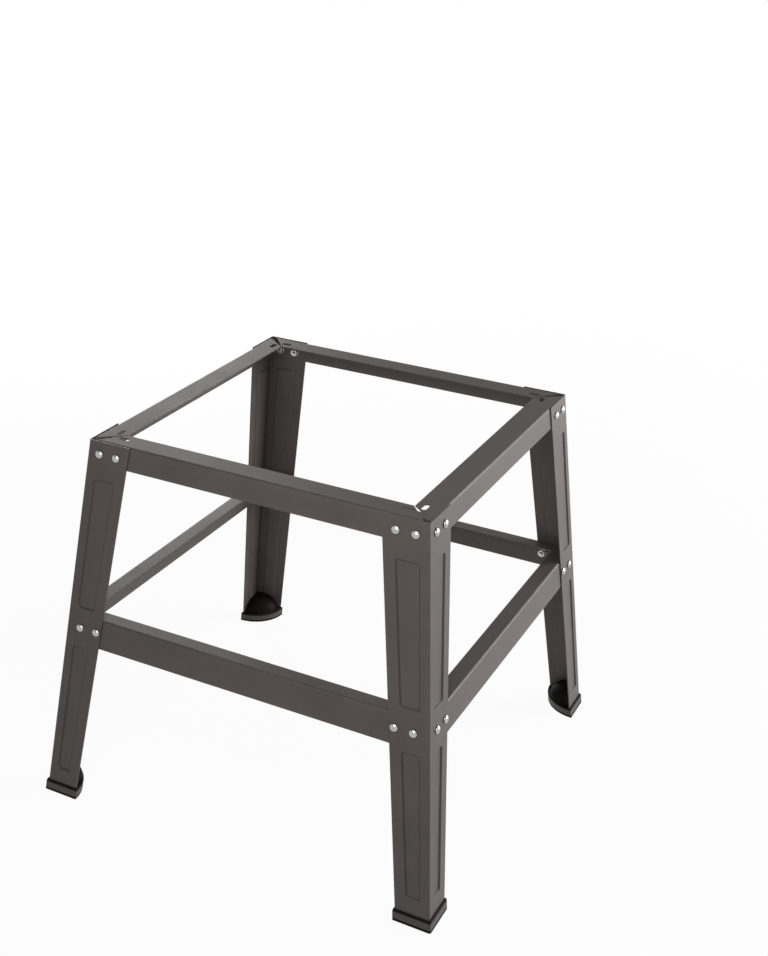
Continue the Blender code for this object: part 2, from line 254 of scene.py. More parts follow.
# %% A helper that places a finished piece
def place_piece(shape, name, node, material, place):
    """A copy of a finished shape, with its place in its mesh, that stands for a CAD node."""
    mesh = shape.copy()
    mesh.name = name
    mesh.transform(place)
    mesh.materials.clear()
    mesh.materials.append(material)
    piece = bpy.data.objects.new(name, mesh)
    bpy.context.scene.collection.objects.link(piece)
    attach(piece, "root")
    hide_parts(node)


# %% [markdown]
# ## The legs
#
# A leg is one blank of sheet steel, folded to an L. Before it was folded, a press pushed two long
# panels into each flange. They stiffen it, and they draw the thin dark and light lines that are
# seen down each leg. The model goes the same way as the press. Two flat faces are cut by planes
# along the walls of the panels-to-be, which leaves a clean grid. The grid's points are then pushed
# in by a soft step, the corner is folded, and only the last modifier makes it a sheet. Insets and
# bevels would give the same outline, but they leave slivers that spoil the sheet's thickness.

# %% How soft the press work is
FOLD_STEPS = 6
PANEL_CORNER = 0.0050        # radius of a pressed panel's corners
# Where a panel's wall is cut, as parts of its width. The last two lie past it, on the flat floor.
WALL_STATIONS = (0.0, 0.12, 0.3, 0.5, 0.7, 0.88, 1.0, 1.3, 1.7)
EDGE_RADIUS = 0.00025        # sheared edges, rounded by the paint
EDGE_STEPS = 2
EDGE_ANGLE = math.radians(50)            # only edges that turn by more than this are sheared ones
PANELS = ((RAIL_HEIGHT + PANEL_BELOW_RAIL, BRACE_DROP - PANEL_ABOVE_BRACE),
          (BRACE_DROP + BRACE_HEIGHT + PANEL_BELOW_BRACE, HEIGHT - FOOT_RIM - PANEL_ABOVE_FOOT))


def leg_blank(end_drop, wider=0.0):
    """Two flat flanges that meet in a sharp corner, for the front right leg."""
    bm = bmesh.new()
    rows = []
    for drop in (0.0, end_drop):
        face, width, z = face_at(drop), flange_width(drop) + wider, HEIGHT - drop
        rows.append([bm.verts.new(place) for place in
                     ((face, -face, z), (face - width, -face, z), (face, -face + width, z))])
    (corner_top, front_top, side_top), (corner_end, front_end, side_end) = rows
    for edge_top, edge_end, outwards in ((front_top, front_end, Vector((0, -1, 0))),
                                         (side_top, side_end, Vector((1, 0, 0)))):
        flange = bm.faces.new((corner_top, corner_end, edge_end, edge_top))
        flange.normal_update()
        if flange.normal.dot(outwards) < 0:
            flange.normal_flip()
    return bm


SAME_PLACE = CLEARANCE / 10  # nearer than this, a point lies on the line that is looked for


def round_edges(bm, edges, radius, steps):
    bmesh.ops.bevel(bm, geom=edges, offset=radius, segments=steps, profile=0.5, affect="EDGES",
                    material=-1)


def fold_corner(bm):
    def on_corner(point):
        face = face_at(HEIGHT - point.z)
        return abs(point.x - face) < SAME_PLACE and abs(point.y + face) < SAME_PLACE

    round_edges(bm, [e for e in bm.edges if all(on_corner(v.co) for v in e.verts)], LEG_BEND,
                FOLD_STEPS)
    return bm


# %% Cut the grid for the press
def cut_through(bm, point, normal, **options):
    """Cuts every face along one plane."""
    geometry = bm.verts[:] + bm.edges[:] + bm.faces[:]
    return bmesh.ops.bisect_plane(bm, geom=geometry, plane_co=point, plane_no=normal, **options)


def cut_for_press(bm):
    """Cuts both flanges along lines that follow the panels' walls."""
    stations = [PANEL_WALL * part for part in WALL_STATIONS] + [PANEL_CORNER]
    for station in stations:
        offset = PANEL_LAND + station
        for slope, top in ((SLOPE, TOP_SIZE / 2 - offset),
                           (EDGE_SLOPE, TOP_SIZE / 2 - LEG_WIDTH_TOP + PANEL_EXTRA_LAND + offset)):
            cut_through(bm, (top, 0, HEIGHT), (1, 0, slope))
            cut_through(bm, (0, -top, HEIGHT), (0, -1, slope))
        for top_drop, bottom_drop in PANELS:
            for drop in (top_drop + station, bottom_drop - station):
                cut_through(bm, (0, 0, HEIGHT - drop), (0, 0, 1))


# %% Press the panels
def distance_inside(across, along):
    """How far a point lies inside a panel's outline, which has rounded corners."""
    if across < PANEL_CORNER and along < PANEL_CORNER:
        return PANEL_CORNER - math.hypot(PANEL_CORNER - across, PANEL_CORNER - along)
    return min(across, along)


def pressed_depth(inside):
    """A soft step: flat land, sloping wall, flat floor."""
    part = min(max(inside / PANEL_WALL, 0.0), 1.0)
    return PANEL_DEPTH * part * part * (3 - 2 * part)


def press_panels(bm):
    for vert in bm.verts:
        drop = HEIGHT - vert.co.z
        face = face_at(drop)
        on_front = abs(vert.co.y + face) < abs(vert.co.x - face)
        from_corner = face - (vert.co.x if on_front else -vert.co.y)
        from_edge = flange_width(drop) - PANEL_EXTRA_LAND - from_corner
        across = min(from_corner, from_edge) - PANEL_LAND
        along = max(min(drop - top_drop, bottom_drop - drop) for top_drop, bottom_drop in PANELS)
        inwards = Vector((0, 1, -SLOPE) if on_front else (-1, 0, -SLOPE)).normalized()
        vert.co += inwards * pressed_depth(distance_inside(across, along))


# %% Holes and slots are cut with plain drills
HOLE_SIDES = 24
BOLT_DRILL_LENGTH = 3 * GRIP             # both drills come out well past the sheets
SLOT_DRILL_LENGTH = 4 * SHEET


def add_drill(bm, radius, length, place):
    return bmesh.ops.create_cone(bm, cap_ends=True, segments=HOLE_SIDES, radius1=radius,
                                 radius2=radius, depth=length, matrix=place)["verts"]


def add_bolt_hole(bm, place):
    to_middle = Matrix.Translation((0, 0, -GRIP / 2))
    add_drill(bm, BOLT_DIAMETER / 2 + CLEARANCE, BOLT_DRILL_LENGTH, place @ to_middle)


def add_slot(bm, along):
    half_step = Matrix.Rotation(math.pi / HOLE_SIDES, 4, "Z")
    verts = add_drill(bm, SLOT_WIDTH / 2, SLOT_DRILL_LENGTH, half_step)
    for vert in verts:
        vert.co.x += math.copysign((SLOT_LENGTH - SLOT_WIDTH) / 2, vert.co.x)
    place = Matrix.Translation((along, -TOP_SIZE / 2 + SLOT_FROM_FACE, HEIGHT))
    bmesh.ops.transform(bm, matrix=place, verts=verts)


# %% Fold a leg
def make_leg():
    bm = leg_blank(LEG_END_DROP)
    cut_for_press(bm)
    press_panels(bm)
    leg = object_from(fold_corner(bm), "leg_blank", closed=False)
    give_thickness(leg, SHEET)
    soften_edges(leg, EDGE_RADIUS, EDGE_STEPS, EDGE_ANGLE)
    bm = bmesh.new()
    for row in BOLT_ROWS:
        places = bolt_places(row)
        for place in places[2:] + [quarter_turn(1) @ left for left in places[:2]]:
            add_bolt_hole(bm, place)
    holes = object_from(bm, "leg_holes")
    combine(leg, holes, "DIFFERENCE")
    even_shading(leg)
    return finished_mesh(leg, "leg", holes)


leg_shape = make_leg()

# %% [markdown]
# ## The top rails and the lower braces
#
# Both are plain angles bent from sheet. The web hangs behind the legs and is bolted to them. The
# flange turns inwards. On a top rail it carries the load and has two slots to bolt it down, and on
# a brace it only stiffens. The flanges are cut at their ends so that two neighbours meet along a
# mitre. An open sheet of two faces is enough: a bevel folds it, and a Solidify gives it the
# sheet's thickness, the same everywhere, also round the fold.

# %% Fold a rail or a brace
def rail_skin(drop, height, flange):
    """The outer skin of a front rail, as an open sheet."""
    bm = bmesh.new()
    face = face_at(drop)
    half_web = face - END_GAP
    half_inner = face - flange - MITRE_GAP
    top = HEIGHT - drop
    web_y = -face + BEHIND_LEG
    lower_y = -face_at(drop + height) + BEHIND_LEG
    lower = [bm.verts.new((x, lower_y, top - height)) for x in (-half_web, half_web)]
    fold = [bm.verts.new((x, web_y, top)) for x in (-half_web, half_web)]
    inner = [bm.verts.new((x, -face + flange, top)) for x in (-half_inner, half_inner)]
    bm.faces.new((lower[0], lower[1], fold[1], fold[0]))
    bm.faces.new((fold[0], fold[1], inner[1], inner[0]))
    round_edges(bm, [e for e in bm.edges if set(e.verts) == set(fold)], RAIL_BEND, FOLD_STEPS)
    return bm


def make_rail(name, row, drop, height, flange, slots):
    rail = object_from(rail_skin(drop, height, flange), name + "_blank", closed=False)
    give_thickness(rail, SHEET)
    soften_edges(rail, EDGE_RADIUS, EDGE_STEPS, EDGE_ANGLE)
    bm = bmesh.new()
    for place in bolt_places(row):
        add_bolt_hole(bm, place)
    if slots:
        for side in (-1, 1):
            add_slot(bm, side * (TOP_SIZE / 2 - SLOT_FROM_CORNER))
    holes = object_from(bm, name + "_holes")
    combine(rail, holes, "DIFFERENCE")
    even_shading(rail)
    return finished_mesh(rail, name, holes)


rail_shape = make_rail("top_rail", "top", 0.0, RAIL_HEIGHT, RAIL_FLANGE, slots=True)
brace_shape = make_rail("lower_brace", "mid", BRACE_DROP, BRACE_HEIGHT, BRACE_FLANGE, slots=False)

# %% [markdown]
# ## The bolts, washers and nuts
#
# A bolt is turned, so it is modelled as on a lathe: half of its outline is drawn once and spun
# about its axis. The head is a low smooth dome. Past the nut, the outline zigzags at the thread's
# pitch, which at this size looks like the real helix. The nut is a hexagonal prism whose corners
# are cut by a cone, as the corners of a real nut are.

# %% Spin an outline
SPIN_STEPS = 28
SOLID_SHARP_ANGLE = 40       # degrees; an edge that turns by more than this stays sharp


def spin_outline(points, ring=False):
    """A closed body from (radius, height) points. A ring's last point joins its first."""
    bm = bmesh.new()
    verts = [bm.verts.new((radius, 0, z)) for radius, z in points]
    pairs = list(zip(verts, verts[1:] + verts[:1])) if ring else list(zip(verts, verts[1:]))
    edges = [bm.edges.new(pair) for pair in pairs]
    bmesh.ops.spin(bm, geom=verts + edges, cent=(0, 0, 0), axis=(0, 0, 1), dvec=(0, 0, 0),
                   angle=2 * math.pi, steps=SPIN_STEPS, use_merge=True)
    bmesh.ops.remove_doubles(bm, verts=bm.verts, dist=MERGE_DISTANCE)
    return bm


def shade_by_angle(mesh, degrees):
    mesh.shade_smooth()
    mesh.set_sharp_from_angle(angle=math.radians(degrees))
    return mesh


# %% Heights along a bolt, with the leg's face at zero
UNDER_HEAD = CLEARANCE
WASHER_TOP = -GRIP - CLEARANCE
NUT_TOP = WASHER_TOP - WASHER_THICKNESS
NUT_END = NUT_TOP - NUT_THICKNESS
THREAD_END = NUT_END - THREAD_PAST_NUT

# %% Turn a bolt
DOME_STEPS = 9
THREAD_PITCH = 0.0010
THREAD_DEPTH = 0.00035


def make_bolt():
    head, shank = HEAD_DIAMETER / 2, BOLT_DIAMETER / 2
    dome = HEAD_HEIGHT - HEAD_RIM
    points = [(head * math.sin(angle), UNDER_HEAD + HEAD_RIM + dome * math.cos(angle))
              for angle in (math.pi / 2 * step / DOME_STEPS for step in range(DOME_STEPS + 1))]
    points += [(head - HEAD_RIM / 2, UNDER_HEAD), (shank, UNDER_HEAD), (shank, NUT_TOP)]
    z = NUT_END
    while z > THREAD_END + THREAD_PITCH:
        points += [(shank - THREAD_DEPTH, z), (shank, z - THREAD_PITCH / 2)]
        z -= THREAD_PITCH
    points += [(shank - THREAD_DEPTH, z), (shank - 2 * THREAD_DEPTH, THREAD_END), (0, THREAD_END)]
    bolt = object_from(spin_outline(points), "bolt_blank")
    return shade_by_angle(finished_mesh(bolt, "bolt"), SOLID_SHARP_ANGLE)


bolt_shape = make_bolt()

# %% Stamp a washer
WASHER_BORE = BOLT_DIAMETER + CLEARANCE
WASHER_SOFT = WASHER_THICKNESS / 5       # its outer edges are cut off this much


def make_washer():
    outer, inner = WASHER_DIAMETER / 2, WASHER_BORE / 2
    points = [(inner, WASHER_TOP), (outer - WASHER_SOFT, WASHER_TOP),
              (outer, WASHER_TOP - WASHER_SOFT), (outer, NUT_TOP + WASHER_SOFT),
              (outer - WASHER_SOFT, NUT_TOP), (inner, NUT_TOP)]
    washer = object_from(spin_outline(points, ring=True), "washer_blank")
    return shade_by_angle(finished_mesh(washer, "washer"), SOLID_SHARP_ANGLE)


washer_shape = make_washer()

# %% Cut a nut
NUT_SIDES = 6
NUT_BORE = BOLT_DIAMETER + CLEARANCE / 5
NUT_SHARP_ANGLE = 25         # degrees; the chamfers turn by about 27


def make_nut():
    across_corners = NUT_ACROSS_FLATS / math.cos(math.pi / NUT_SIDES)
    chamfer = (across_corners - NUT_ACROSS_FLATS) / 2
    bm = bmesh.new()
    middle = Matrix.Translation((0, 0, (NUT_TOP + NUT_END) / 2))
    bmesh.ops.create_cone(bm, cap_ends=True, segments=NUT_SIDES, radius1=across_corners / 2,
                          radius2=across_corners / 2, depth=NUT_THICKNESS, matrix=middle)
    nut = object_from(bm, "nut_blank")
    rim = NUT_ACROSS_FLATS / 2 - chamfer / 4
    wide = rim + 2 * chamfer
    points = [(0, NUT_TOP + chamfer), (rim, NUT_TOP), (wide, NUT_TOP - chamfer),
              (wide, NUT_END + chamfer), (rim, NUT_END), (0, NUT_END - chamfer)]
    cone = object_from(spin_outline(points), "nut_cone")
    combine(nut, cone, "INTERSECT")
    bm = bmesh.new()
    add_drill(bm, NUT_BORE / 2, 2 * NUT_THICKNESS, middle)
    bore = object_from(bm, "nut_bore")
    combine(nut, bore, "DIFFERENCE")
    return shade_by_angle(finished_mesh(nut, "nut", cone, bore), NUT_SHARP_ANGLE)


nut_shape = make_nut()

# %% [markdown]
# ## The rubber feet
#
# A foot is one moulding: a quarter-round rim outside the leg, a slot that the leg's edge is pushed
# into, and a dome inside. It leans with the leg, so it is made upright and then sheared. Moulded
# rubber has no sharp edge anywhere. The shapes are joined and cut first, and then the whole
# surface is remeshed and smoothed a little, which rounds every edge in one go.

# %% Shape the rim
FOOT_ARC_STEPS = 32
FOOT_BEVEL_STEPS = 5
FOOT_SOFT = 0.0018           # how wide the rim's upper edges are rounded
FOOT_SOFT_DEPTH = 2.0        # how deep, as a multiple of that


def add_quarter_round(bm, reach, height):
    """A quarter disc about the foot's outer corner, standing on the floor."""
    corner = Vector((FOOT_FACE, -FOOT_FACE, 0))
    points = [corner]
    for step in range(FOOT_ARC_STEPS + 1):
        angle = math.pi / 2 * (1 + step / FOOT_ARC_STEPS)
        points.append(corner + reach * Vector((math.cos(angle), math.sin(angle), 0)))
    face = bm.faces.new([bm.verts.new(point) for point in points])
    raised = bmesh.ops.extrude_face_region(bm, geom=[face])["geom"]
    bmesh.ops.translate(bm, vec=(0, 0, height),
                        verts=[v for v in raised if isinstance(v, bmesh.types.BMVert)])


def lean_with_leg(bm):
    lean = Matrix.Identity(4)
    lean[0][2], lean[1][2] = -SLOPE, SLOPE
    bmesh.ops.transform(bm, matrix=lean, verts=bm.verts)


def make_foot_rim():
    bm = bmesh.new()
    add_quarter_round(bm, FOOT_REACH, FOOT_RIM)
    outer = [e for e in bm.edges if all(abs(v.co.x - FOOT_FACE) < CLEARANCE
                                        and abs(v.co.y + FOOT_FACE) < CLEARANCE for v in e.verts)]
    round_edges(bm, outer, FOOT_CORNER, FOOT_BEVEL_STEPS)
    upper = [e for e in bm.edges if all(v.co.z > FOOT_RIM - CLEARANCE for v in e.verts)]
    round_edges(bm, upper, FOOT_SOFT, FOOT_BEVEL_STEPS)
    # The rounding is drawn downwards, so that it is deeper than it is wide.
    for vert in bm.verts:
        if vert.co.z > FOOT_SOFT:
            vert.co.z = FOOT_RIM - (FOOT_RIM - vert.co.z) * FOOT_SOFT_DEPTH
    lean_with_leg(bm)
    return object_from(bm, "foot_blank")


# %% Shape the dome inside the leg
CORE_SEGMENTS = 64
CORE_RINGS = 32


def make_foot_core():
    """The dome, cut by two planes to the leg's inside and by a third at half the rim's height."""
    bm = bmesh.new()
    middle = Vector((FOOT_FACE - CORE_MIDDLE, -FOOT_FACE + CORE_MIDDLE, CORE_TOP - CORE_ROUND))
    shape = Matrix.Diagonal((CORE_RADIUS, CORE_RADIUS, CORE_ROUND, 1))
    bmesh.ops.create_uvsphere(bm, u_segments=CORE_SEGMENTS, v_segments=CORE_RINGS, radius=1,
                              matrix=Matrix.Translation(middle) @ shape)
    lean_with_leg(bm)
    inside = TOP_SIZE / 2 - SHEET / 2
    for point, outwards in (((inside, 0, HEIGHT), (1, 0, SLOPE)),
                            ((0, -inside, HEIGHT), (0, -1, SLOPE)),
                            ((0, 0, FOOT_RIM / 2), (0, 0, -1))):
        cut = cut_through(bm, point, outwards, clear_outer=True)["geom_cut"]
        bmesh.ops.edgeloop_fill(bm, edges=[e for e in cut if isinstance(e, bmesh.types.BMEdge)])
    return object_from(bm, "foot_core")


# %% Mould a foot
FOOT_VOXEL = 0.0005
FOOT_SMOOTHING = 0.5         # how far a point moves towards its neighbours' middle, each time
FOOT_SMOOTHING_TIMES = 6
FOOT_KEPT_FACES = 0.30
FOOT_SHARP_ANGLE = 60        # degrees; a rounded edge turns less than this from face to face


def make_foot():
    foot, core = make_foot_rim(), make_foot_core()
    combine(foot, core, "UNION")
    slot = object_from(fold_corner(leg_blank(HEIGHT - FOOT_FLOOR, CLEARANCE)), "foot_slot",
                       closed=False)
    slot_width = SHEET + 2 * CLEARANCE
    give_thickness(slot, slot_width, offset=-SHEET / slot_width)
    combine(foot, slot, "DIFFERENCE")
    remesh = foot.modifiers.new("one_moulding", "REMESH")
    remesh.mode = "VOXEL"
    remesh.voxel_size = FOOT_VOXEL
    smooth = foot.modifiers.new("soft_mould", "SMOOTH")
    smooth.factor = FOOT_SMOOTHING
    smooth.iterations = FOOT_SMOOTHING_TIMES
    decimate = foot.modifiers.new("fewer_faces", "DECIMATE")
    decimate.ratio = FOOT_KEPT_FACES
    return shade_by_angle(finished_mesh(foot, "foot", core, slot), FOOT_SHARP_ANGLE)


foot_shape = make_foot()

# %% [markdown]
# ## Finishes
#
# Three finishes cover the stand: a dark grey-brown paint with a faint orange peel, bright zinc
# plate, and matt black rubber. None of them is one flat colour. A small shader group gives them
# all a slow drift between two tones and a fine grain. A second group reads Pointiness, which tells
# edges from hollows: it paints a highlight along the edges, broken up by noise, and paints shade,
# nearly black, in the narrow creases round the panels. That painted shade draws the thin dark lines
# of the photograph, which a lamp alone would leave too soft. The rubber is dark grey on the rim's
# upright wall and painted shade, near black, by the floor and from the rim's rounded top upwards,
# so its looks are told apart by height.

# %% Helpers for shader nodes
MIX_FIRST, MIX_SECOND, MIX_RESULT = 6, 7, 2    # where a Mix node keeps its color sockets


def feed(tree, socket, value):
    """A socket takes a link from another node, or else a plain value."""
    if isinstance(value, bpy.types.NodeSocket):
        tree.links.new(value, socket)
    else:
        socket.default_value = value


def add_math(tree, operation, first, second):
    node = tree.nodes.new("ShaderNodeMath")
    node.operation = operation
    feed(tree, node.inputs[0], first)
    feed(tree, node.inputs[1], second)
    return node.outputs[0]


def add_ramp(tree, value, start, end, low=0.0, high=1.0):
    ramp = tree.nodes.new("ShaderNodeMapRange")
    for label, number in (("Value", value), ("From Min", start), ("From Max", end),
                          ("To Min", low), ("To Max", high)):
        feed(tree, ramp.inputs[label], number)
    return ramp.outputs["Result"]


def add_noise(tree, vector, scale, detail):
    noise = tree.nodes.new("ShaderNodeTexNoise")
    for label, value in (("Vector", vector), ("Scale", scale), ("Detail", detail)):
        feed(tree, noise.inputs[label], value)
    return noise.outputs["Fac"]


def add_mix(tree, factor, first, second):
    mix = tree.nodes.new("ShaderNodeMix")
    mix.data_type = "RGBA"
    for place, value in (("Factor", factor), (MIX_FIRST, first), (MIX_SECOND, second)):
        feed(tree, mix.inputs[place], value)
    return mix.outputs[MIX_RESULT]


def new_group(name, inputs, outputs):
    group = bpy.data.node_groups.new(name, "ShaderNodeTree")
    for direction, sockets in (("INPUT", inputs), ("OUTPUT", outputs)):
        for label, kind in sockets:
            group.interface.new_socket(label, in_out=direction, socket_type=kind)
    return group, group.nodes.new("NodeGroupInput"), group.nodes.new("NodeGroupOutput")


# %% Shader group: two tones and a grain
DRIFT_DETAIL, GRAIN_DETAIL = 5.0, 3.0
GRAIN_SHARE = 0.25           # how much of the tone follows the grain, and not the slow drift
TONE_CONTRAST = 2.4          # noise stays near its middle, so it is spread over the two tones
NOISE_MIDDLE = 0.5


def make_drift_group():
    """Two tones that drift into each other, a roughness that follows, and a fine height."""
    group, given, out = new_group(
        "tone_drift",
        [("Vector", "NodeSocketVector"), ("Tone A", "NodeSocketColor"),
         ("Tone B", "NodeSocketColor"), ("Drift Scale", "NodeSocketFloat"),
         ("Grain Scale", "NodeSocketFloat"), ("Roughness", "NodeSocketFloat"),
         ("Roughness Change", "NodeSocketFloat")],
        [("Color", "NodeSocketColor"), ("Roughness", "NodeSocketFloat"),
         ("Height", "NodeSocketFloat")])
    vector = given.outputs["Vector"]
    drift = add_noise(group, vector, given.outputs["Drift Scale"], DRIFT_DETAIL)
    grain = add_noise(group, vector, given.outputs["Grain Scale"], GRAIN_DETAIL)
    both = add_math(group, "ADD", add_math(group, "MULTIPLY", drift, 1 - GRAIN_SHARE),
                    add_math(group, "MULTIPLY", grain, GRAIN_SHARE))
    centred = add_math(group, "SUBTRACT", both, NOISE_MIDDLE)
    spread = add_math(group, "MULTIPLY", centred, TONE_CONTRAST)
    part = add_math(group, "ADD", spread, NOISE_MIDDLE)
    color = add_mix(group, part, given.outputs["Tone A"], given.outputs["Tone B"])
    group.links.new(color, out.inputs["Color"])
    # The noise reaches half above and half below its middle, so twice of it is the full change.
    full = add_math(group, "MULTIPLY", centred, 2.0)
    change = add_math(group, "MULTIPLY", full, given.outputs["Roughness Change"])
    rough = add_math(group, "ADD", given.outputs["Roughness"], change)
    group.links.new(rough, out.inputs["Roughness"])
    group.links.new(grain, out.inputs["Height"])
    return group


tone_drift = make_drift_group()

# %% Shader group: painted highlight on edges and painted shade in creases
# Pointiness is 0.5 where a face is flat, more on an edge and less in a hollow.
# The edge mask is a painted highlight on convex edges, broken up by noise.
EDGE_HIGHLIGHT_START = 0.52
EDGE_HIGHLIGHT_GAIN = 12.0             # how fast the painted highlight grows past that
EDGE_HIGHLIGHT_NOISE_SCALE = 140.0
EDGE_HIGHLIGHT_NOISE_DETAIL = 4.0
CREASE_SHADE_START, CREASE_SHADE_FULL = 0.485, 0.44


def make_edge_group():
    """Two masks: a painted highlight on convex edges, broken up by noise, and painted shade in
    concave creases.
    """
    group, given, out = new_group(
        "edge_highlight_and_crease_shade", [("Vector", "NodeSocketVector"), ("Wear Amount", "NodeSocketFloat")],
        [("Edge Highlight", "NodeSocketFloat"), ("Crease Shade", "NodeSocketFloat")])
    pointiness = group.nodes.new("ShaderNodeNewGeometry").outputs["Pointiness"]
    convex = add_math(group, "SUBTRACT", pointiness, EDGE_HIGHLIGHT_START)
    edge = add_math(group, "MULTIPLY", convex, EDGE_HIGHLIGHT_GAIN)
    noise = add_noise(group, given.outputs["Vector"], EDGE_HIGHLIGHT_NOISE_SCALE, EDGE_HIGHLIGHT_NOISE_DETAIL)
    broken = add_math(group, "MULTIPLY", noise, given.outputs["Wear Amount"])
    clamp = group.nodes.new("ShaderNodeClamp")
    group.links.new(add_math(group, "MULTIPLY", edge, broken), clamp.inputs["Value"])
    group.links.new(clamp.outputs["Result"], out.inputs["Edge Highlight"])
    # The crease mask paints shade into the concave creases round the panels.
    crease = add_ramp(group, pointiness, CREASE_SHADE_START, CREASE_SHADE_FULL)
    group.links.new(crease, out.inputs["Crease Shade"])
    return group


edge_highlight_and_crease_shade = make_edge_group()


# %% Helpers that every finish uses
def place_group(tree, group, **values):
    node = tree.nodes.new("ShaderNodeGroup")
    node.node_tree = group
    for label, value in values.items():
        feed(tree, node.inputs[label.replace("_", " ")], value)
    return node


def new_material(name):
    material = bpy.data.materials.new(name)
    material.use_nodes = True
    tree = material.node_tree
    shader = tree.nodes["Principled BSDF"]
    coordinates = tree.nodes.new("ShaderNodeTexCoord").outputs["Object"]
    return material, tree, shader, coordinates


def add_bump(tree, shader, height, strength, distance):
    bump = tree.nodes.new("ShaderNodeBump")
    bump.inputs["Strength"].default_value = strength
    bump.inputs["Distance"].default_value = distance
    tree.links.new(height, bump.inputs["Height"])
    tree.links.new(bump.outputs["Normal"], shader.inputs["Normal"])


# %% Dark paint
PAINT_A = (0.058, 0.0485, 0.0440, 1)
PAINT_B = (0.080, 0.0670, 0.0610, 1)
# A painted highlight for the convex edges.
PAINT_EDGE_HIGHLIGHT = (0.19, 0.18, 0.17, 1)
# Painted shade, nearly black, for the creases round the panels.
PAINT_CREASE_SHADE = (0.012, 0.0095, 0.0085, 1)
PAINT_SHINE = 0.30


def make_paint():
    material, tree, shader, coordinates = new_material("dark_paint")
    drift = place_group(tree, tone_drift, Vector=coordinates, Tone_A=PAINT_A, Tone_B=PAINT_B,
                        Drift_Scale=14.0, Grain_Scale=850.0, Roughness=0.46, Roughness_Change=0.12)
    shape = place_group(tree, edge_highlight_and_crease_shade, Vector=coordinates, Wear_Amount=0.12)
    # Painted highlight along the convex edges.
    color = add_mix(tree, shape.outputs["Edge Highlight"], drift.outputs["Color"], PAINT_EDGE_HIGHLIGHT)
    # Painted shade, nearly black, in the creases round the panels.
    color = add_mix(tree, shape.outputs["Crease Shade"], color, PAINT_CREASE_SHADE)
    tree.links.new(color, shader.inputs["Base Color"])
    tree.links.new(drift.outputs["Roughness"], shader.inputs["Roughness"])
    shader.inputs["Specular IOR Level"].default_value = PAINT_SHINE
    add_bump(tree, shader, drift.outputs["Height"], strength=0.25, distance=0.0002)
    return material


# %% Bright zinc
ZINC_A = (0.36, 0.36, 0.355, 1)
ZINC_B = (0.50, 0.50, 0.49, 1)


def make_zinc():
    material, tree, shader, coordinates = new_material("bright_zinc")
    drift = place_group(tree, tone_drift, Vector=coordinates, Tone_A=ZINC_A, Tone_B=ZINC_B,
                        Drift_Scale=160.0, Grain_Scale=2200.0, Roughness=0.20,
                        Roughness_Change=0.12)
    tree.links.new(drift.outputs["Color"], shader.inputs["Base Color"])
    tree.links.new(drift.outputs["Roughness"], shader.inputs["Roughness"])
    shader.inputs["Metallic"].default_value = 1.0
    add_bump(tree, shader, drift.outputs["Height"], strength=0.10, distance=0.0001)
    return material


# %% Rubber: dark grey on the rim's upright wall, with painted shade, near black, by the floor and above the wall
# Painted shade: the rubber is near black on its lowest millimetres by the floor, on the rim's
# rounded top and over the dome, and shines less there. The upright wall between keeps the rubber's
# own dark grey.
RUBBER_PAINTED_SHADE = (0.0090, 0.0075, 0.0068, 1)
RUBBER_WALL_A = (0.022, 0.0185, 0.0155, 1)
RUBBER_WALL_B = (0.036, 0.0305, 0.0260, 1)
SHADE_SHINE, WALL_SHINE = 0.03, 0.50
FLOOR_SHADE_FADES, FLOOR_SHADE_GONE = 0.0030, 0.0044   # heights above the floor between which the painted shade by the floor fades out and between which painted shade comes in again, where the rim's upper edge is rounded
TOP_SHADE_STARTS, TOP_SHADE_FULL = 0.0116, 0.0136     # and goes again, where the rim's upper edge is rounded


def make_rubber():
    material, tree, shader, coordinates = new_material("black_rubber")
    drift = place_group(tree, tone_drift, Vector=coordinates, Tone_A=RUBBER_WALL_A, Tone_B=RUBBER_WALL_B,
                        Drift_Scale=60.0, Grain_Scale=1300.0, Roughness=0.52,
                        Roughness_Change=0.15)
    place = tree.nodes.new("ShaderNodeSeparateXYZ")
    tree.links.new(coordinates, place.inputs["Vector"])
    comes = add_ramp(tree, place.outputs["Z"], FLOOR_SHADE_FADES, FLOOR_SHADE_GONE)
    goes = add_ramp(tree, place.outputs["Z"], TOP_SHADE_STARTS, TOP_SHADE_FULL, low=1.0, high=0.0)
    # This mask is 0 where shade is painted and 1 on the rim's upright wall.
    unshaded = add_math(tree, "MULTIPLY", comes, goes)
    color = add_mix(tree, unshaded, RUBBER_PAINTED_SHADE, drift.outputs["Color"])
    tree.links.new(color, shader.inputs["Base Color"])
    tree.links.new(drift.outputs["Roughness"], shader.inputs["Roughness"])
    shine = add_ramp(tree, unshaded, 0.0, 1.0, SHADE_SHINE, WALL_SHINE)
    tree.links.new(shine, shader.inputs["Specular IOR Level"])
    add_bump(tree, shader, drift.outputs["Height"], strength=0.35, distance=0.0003)
    return material


paint, zinc, rubber = make_paint(), make_zinc(), make_rubber()
print("finishes:", paint.name, zinc.name, rubber.name)

# %% [markdown]
# ## Put the stand together
#
# Each finished shape is copied to its four sides or corners. Every copy stands for the CAD node of
# the same place, and rides on the stand's one body.

